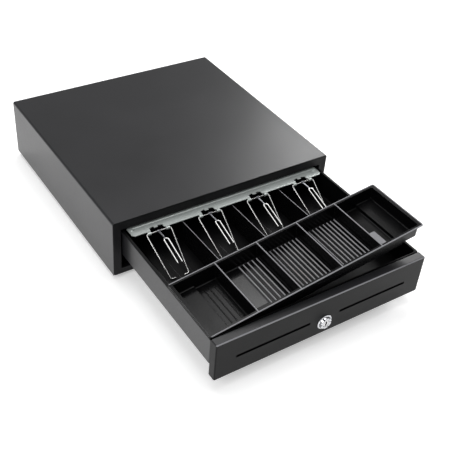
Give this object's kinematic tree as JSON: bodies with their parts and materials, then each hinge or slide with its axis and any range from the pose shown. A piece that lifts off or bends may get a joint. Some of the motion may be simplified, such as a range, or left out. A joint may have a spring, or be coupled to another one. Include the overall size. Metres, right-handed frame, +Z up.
{
  "type": "cash drawer",
  "caption": "Electronic cash drawer: steel case on feet, sliding drawer with sprung bill clips, lifting coin tray, key lock and solenoid release.",
  "frame": {"origin": "middle of the whole object's footprint, drawer open as modelled, at the feet's undersides", "axes": "+X to the right seen from the front, +Y from the drawer's front to the case's back, +Z up"},
  "size_m": [0.41, 0.674, 0.1458],
  "materials": {
    "black_steel": "fine textured black powder coat on sheet steel",
    "black_plastic": "black injection-moulded ABS, satin",
    "zinc_plate": "zinc-plated steel sheet, dull",
    "bright_wire": "bright nickel-plated steel wire",
    "chrome": "polished chrome on zinc casting",
    "rubber": "black rubber",
    "brass": "plain brass",
    "coil_tape": "yellow insulating tape on a wound coil"
  },
  "bodies": {
    "case": {"top_cover": "black_steel", "front_frame": "black_steel", "base_plate": "black_steel", "back_panel": "black_steel", "foot_1": "rubber", "foot_2": "rubber", "foot_3": "rubber", "foot_4": "rubber", "foot_screw_1": "bright_wire", "foot_screw_2": "bright_wire", "foot_screw_3": "bright_wire", "foot_screw_4": "bright_wire", "signal_socket": "black_plastic", "solenoid_lead": "rubber", "slide_outer_left": "zinc_plate", "slide_outer_right": "zinc_plate", "slide_stand_left": "zinc_plate", "slide_stand_right": "zinc_plate", "latch_bracket": "zinc_plate", "latch_post": "bright_wire", "solenoid_coil": "coil_tape", "solenoid_yoke": "zinc_plate", "ejector_guide": "zinc_plate", "eject_spring": "bright_wire", "switch_body": "black_plastic"},
    "slide_middle": {"slide_middle_left": "zinc_plate", "slide_middle_right": "zinc_plate"},
    "drawer": {"drawer_front": "black_steel", "drawer_box": "black_steel", "till_insert": "black_plastic", "bill_divider_1": "black_plastic", "bill_divider_2": "black_plastic", "bill_divider_3": "black_plastic", "clip_bracket": "zinc_plate", "bracket_screw_left": "bright_wire", "bracket_screw_right": "bright_wire", "lock_barrel": "chrome", "lock_nut": "brass", "slide_inner_left": "zinc_plate", "slide_inner_right": "zinc_plate", "strike_plate": "zinc_plate", "strike_pin": "bright_wire"},
    "bill_clip_1": {"clip_wire_1": "bright_wire", "clip_arm_1": "bright_wire"},
    "bill_clip_2": {"clip_wire_2": "bright_wire", "clip_arm_2": "bright_wire"},
    "bill_clip_3": {"clip_wire_3": "bright_wire", "clip_arm_3": "bright_wire"},
    "bill_clip_4": {"clip_wire_4": "bright_wire", "clip_arm_4": "bright_wire"},
    "coin_tray": {"coin_tray": "black_plastic"},
    "lock_plug": {"lock_plug": "chrome", "lock_cam": "zinc_plate"},
    "latch_lever": {"latch_lever": "zinc_plate"},
    "plunger": {"solenoid_plunger": "bright_wire"},
    "ejector": {"ejector_pusher": "black_plastic"},
    "switch_button": {"switch_button": "rubber"}
  },
  "joints": [
    {"name": "slide_stage_1", "type": "slide", "parent": "case", "child": "slide_middle", "axis": [0, -1, 0], "range_m": [-0.1335, 0.022]},
    {"name": "slide_stage_2", "type": "slide", "parent": "slide_middle", "child": "drawer", "axis": [0, -1, 0], "range_m": [-0.1335, 0.022]},
    {"name": "coin_tray_lift", "type": "hinge", "parent": "drawer", "child": "coin_tray", "pos_m": [-0.18825, -0.25745, 0.0916], "axis": [0, -1, 0], "range_deg": [-8, 12]},
    {"name": "bill_clip_1_lift", "type": "hinge", "parent": "drawer", "child": "bill_clip_1", "pos_m": [-0.13819, -0.0855, 0.0908], "axis": [-1, 0, 0], "range_deg": [0, 70]},
    {"name": "bill_clip_2_lift", "type": "hinge", "parent": "drawer", "child": "bill_clip_2", "pos_m": [-0.04606, -0.0855, 0.0908], "axis": [-1, 0, 0], "range_deg": [0, 70]},
    {"name": "bill_clip_3_lift", "type": "hinge", "parent": "drawer", "child": "bill_clip_3", "pos_m": [0.04606, -0.0855, 0.0908], "axis": [-1, 0, 0], "range_deg": [0, 70]},
    {"name": "bill_clip_4_lift", "type": "hinge", "parent": "drawer", "child": "bill_clip_4", "pos_m": [0.13819, -0.0855, 0.0908], "axis": [-1, 0, 0], "range_deg": [0, 70]},
    {"name": "lock_turn", "type": "hinge", "parent": "drawer", "child": "lock_plug", "pos_m": [0, -0.332, 0.0455], "axis": [0, 1, 0], "range_deg": [0, 90]},
    {"name": "plunger_pull", "type": "slide", "parent": "case", "child": "plunger", "axis": [-1, 0, 0], "range_m": [0, 0.005], "stiffness_N_per_m": 80},
    {"name": "latch_turn", "type": "hinge", "parent": "case", "child": "latch_lever", "pos_m": [0.01, 0.309, 0.0504], "axis": [0, 0, 1], "range_deg": [0, 24]},
    {"name": "ejector_push", "type": "slide", "parent": "case", "child": "ejector", "axis": [0, -1, 0], "range_m": [-0.016, 0], "stiffness_N_per_m": 60, "springref_m": 0.01, "deforming": ["eject_spring"]},
    {"name": "switch_press", "type": "slide", "parent": "case", "child": "switch_button", "axis": [0, -1, 0], "range_m": [-0.0026, 0], "stiffness_N_per_m": 60, "springref_m": 0.002}
  ],
  "couplings": [
    {"joint": "latch_turn", "follows": "plunger_pull", "rad_per_m": 79}
  ]
}
